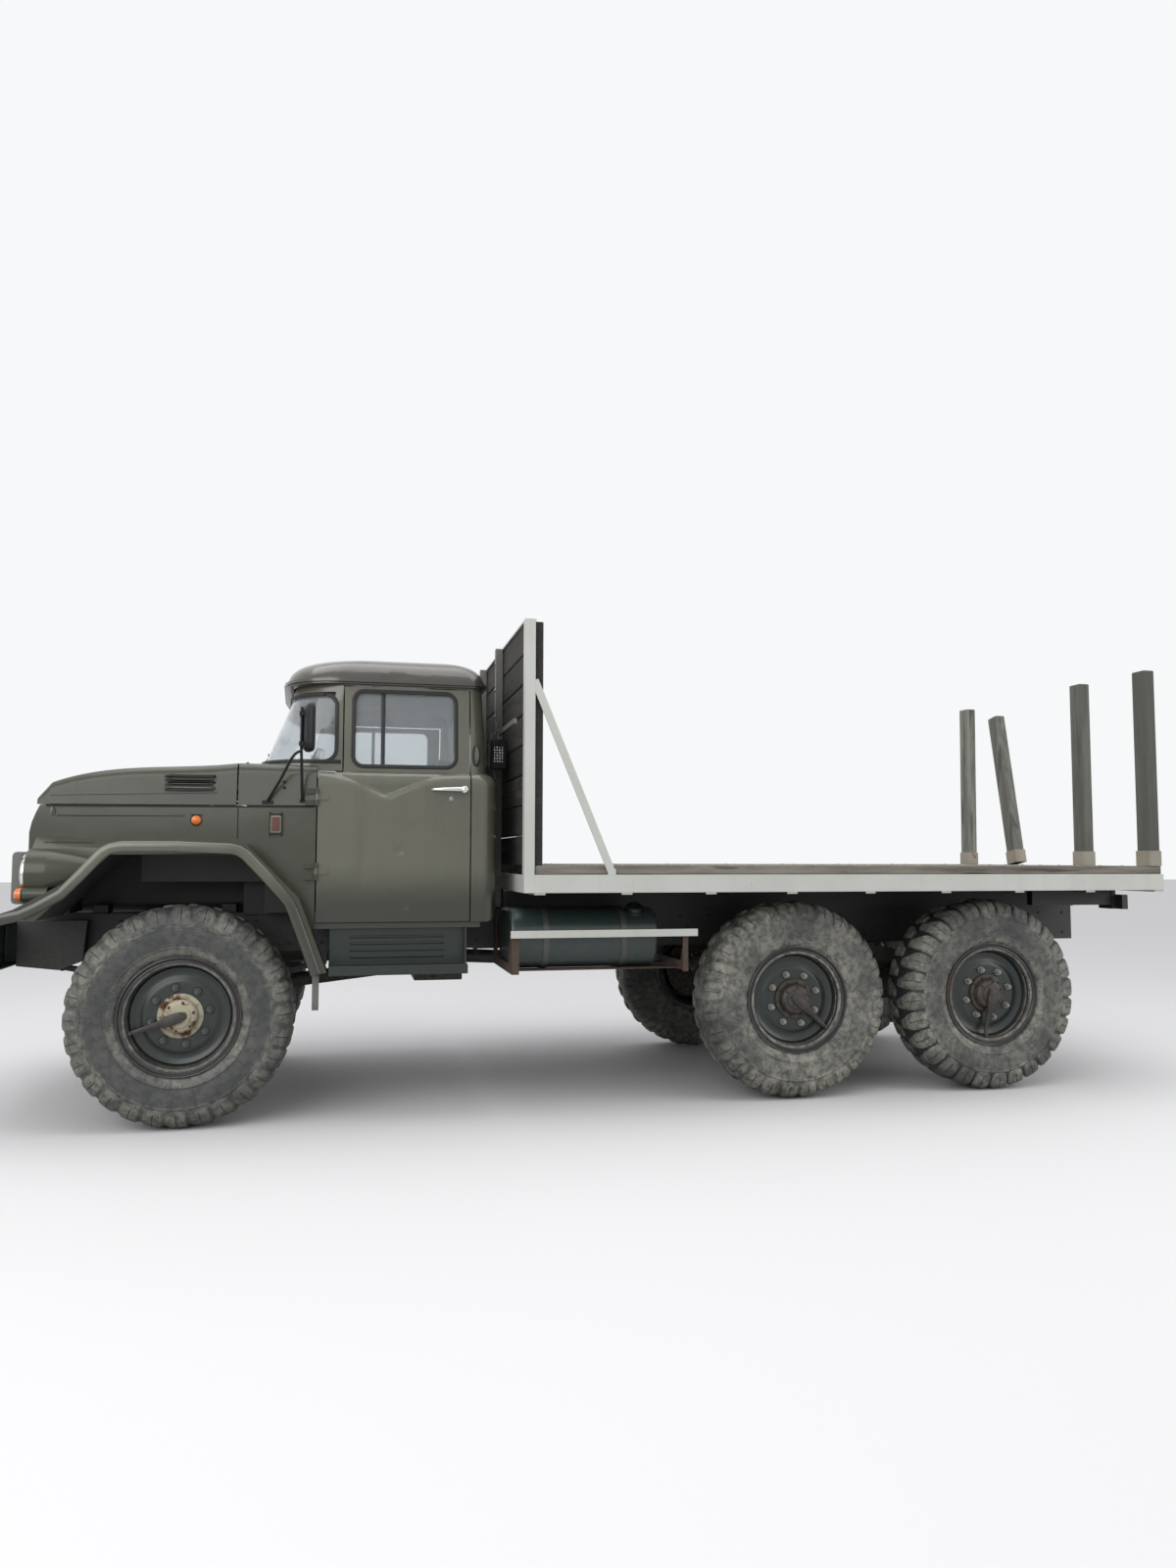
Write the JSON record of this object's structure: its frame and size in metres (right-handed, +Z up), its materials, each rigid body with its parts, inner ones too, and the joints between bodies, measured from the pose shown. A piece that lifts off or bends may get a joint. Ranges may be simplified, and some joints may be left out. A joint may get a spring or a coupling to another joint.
{
  "type": "military cargo truck",
  "caption": "Six-wheel military cargo truck with a bonnet, a two-door cab, a flat load bed with a boarded headboard, and rear stakes. Wheels, steering, doors and bonnet move.",
  "frame": {"origin": "on the ground, under the middle of the truck's overall box", "axes": "+X forward, towards the bonnet; +Y to the truck's left; +Z up"},
  "size_m": [6.71, 2.53, 2.652],
  "materials": {
    "green_paint": "semi-gloss, weathered",
    "dark_metal": "matte",
    "axle_metal": "matte",
    "rusty_steel": "matte, rusty",
    "pale_paint": "matte",
    "dark_wood": "weathered",
    "grey_wood": "weathered",
    "tyre_rubber": "matte",
    "wheel_paint": "satin",
    "window_glass": "clear",
    "seat_cover": "matte",
    "black_plastic": "satin",
    "lamp_glass": "clear",
    "lamp_plastic": "clear"
  },
  "bodies": {
    "chassis": {"air_reservoirs": "dark_metal", "bed_frame": "pale_paint", "bed_planks": "grey_wood", "cab_roof": "green_paint", "cab_shell": "green_paint", "chassis_frame": "dark_metal", "cowl": "green_paint", "dashboard": "dark_metal", "driveline": "axle_metal", "engine_block": "axle_metal", "exhaust": "rusty_steel", "front_axle": "axle_metal", "front_bumper": "dark_metal", "front_springs": "dark_metal", "fuel_tanks": "green_paint", "grille": "green_paint", "headboard_boards": "dark_wood", "headboard_frame": "pale_paint", "headlamps": "lamp_glass", "lamp_guards": "dark_metal", "mid_axle": "axle_metal", "mirrors": "dark_metal", "rear_axle": "axle_metal", "rear_glass": "window_glass", "rear_springs": "dark_metal", "seat_backs": "seat_cover", "seat_cushions": "seat_cover", "seat_frames": "dark_metal", "side_lamps": "lamp_plastic", "stake_sockets": "rusty_steel", "stakes": "grey_wood", "steps": "dark_metal", "tail_lamps": "lamp_plastic", "tank_guards": "rusty_steel", "torque_rods": "dark_metal", "windscreen": "window_glass", "wing_left": "green_paint", "wing_right": "green_paint"},
    "knuckle_left": {"knuckle_left": "axle_metal"},
    "knuckle_right": {"knuckle_right": "axle_metal"},
    "tie_rod": {"tie_rod": "dark_metal"},
    "steering_wheel": {"steering_wheel": "black_plastic"},
    "door_left": {"door_left": "green_paint", "door_glass_left": "window_glass"},
    "door_right": {"door_right": "green_paint", "door_glass_right": "window_glass"},
    "hood": {"hood": "green_paint"},
    "front_left_wheel": {"tyre_front_left": "tyre_rubber", "wheel_front_left": "wheel_paint"},
    "front_right_wheel": {"tyre_front_right": "tyre_rubber", "wheel_front_right": "wheel_paint"},
    "mid_left_wheel": {"tyre_mid_left": "tyre_rubber", "wheel_mid_left": "wheel_paint"},
    "mid_right_wheel": {"tyre_mid_right": "tyre_rubber", "wheel_mid_right": "wheel_paint"},
    "rear_left_wheel": {"tyre_rear_left": "tyre_rubber", "wheel_rear_left": "wheel_paint"},
    "rear_right_wheel": {"tyre_rear_right": "tyre_rubber", "wheel_rear_right": "wheel_paint"}
  },
  "joints": [
    {"name": "steer_left", "type": "hinge", "parent": "chassis", "child": "knuckle_left", "pos_m": [2.29, 0.735, 0.565], "axis": [0, 0, 1], "range_deg": [-28, 28]},
    {"name": "steer_right", "type": "hinge", "parent": "chassis", "child": "knuckle_right", "pos_m": [2.29, -0.735, 0.565], "axis": [0, 0, 1], "range_deg": [-28, 28]},
    {"name": "tie_rod_pivot", "type": "hinge", "parent": "knuckle_left", "child": "tie_rod", "pos_m": [2.06, 0.735, 0.453], "axis": [0, 0, 1], "range_deg": [-28, 28]},
    {"name": "steering_wheel_turn", "type": "hinge", "parent": "chassis", "child": "steering_wheel", "pos_m": [1.3202, 0.43, 1.6704], "axis": [-0.6847, 0, 0.7289], "range_deg": [-560, 560]},
    {"name": "front_left_spin", "type": "hinge", "parent": "knuckle_left", "child": "front_left_wheel", "pos_m": [2.29, 0.91, 0.565], "axis": [0, 1, 0], "continuous": true},
    {"name": "front_right_spin", "type": "hinge", "parent": "knuckle_right", "child": "front_right_wheel", "pos_m": [2.29, -0.91, 0.565], "axis": [0, 1, 0], "continuous": true},
    {"name": "mid_left_spin", "type": "hinge", "parent": "chassis", "child": "mid_left_wheel", "pos_m": [-1.06, 0.91, 0.565], "axis": [0, 1, 0], "continuous": true},
    {"name": "mid_right_spin", "type": "hinge", "parent": "chassis", "child": "mid_right_wheel", "pos_m": [-1.06, -0.91, 0.565], "axis": [0, 1, 0], "continuous": true},
    {"name": "rear_left_spin", "type": "hinge", "parent": "chassis", "child": "rear_left_wheel", "pos_m": [-2.31, 0.91, 0.565], "axis": [0, 1, 0], "continuous": true},
    {"name": "rear_right_spin", "type": "hinge", "parent": "chassis", "child": "rear_right_wheel", "pos_m": [-2.31, -0.91, 0.565], "axis": [0, 1, 0], "continuous": true},
    {"name": "door_left_swing", "type": "hinge", "parent": "chassis", "child": "door_left", "pos_m": [1.6335, 1.06, 1.495], "axis": [0, 0, -1], "range_deg": [0, 70]},
    {"name": "door_right_swing", "type": "hinge", "parent": "chassis", "child": "door_right", "pos_m": [1.6335, -1.06, 1.495], "axis": [0, 0, 1], "range_deg": [0, 70]},
    {"name": "hood_lift", "type": "hinge", "parent": "chassis", "child": "hood", "pos_m": [2.039, 0, 1.911], "axis": [0, -1, 0], "range_deg": [0, 50]}
  ],
  "couplings": [
    {"joint": "steer_right", "follows": "steer_left", "ratio": 1},
    {"joint": "tie_rod_pivot", "follows": "steer_left", "ratio": -1},
    {"joint": "steering_wheel_turn", "follows": "steer_left", "ratio": 20}
  ]
}
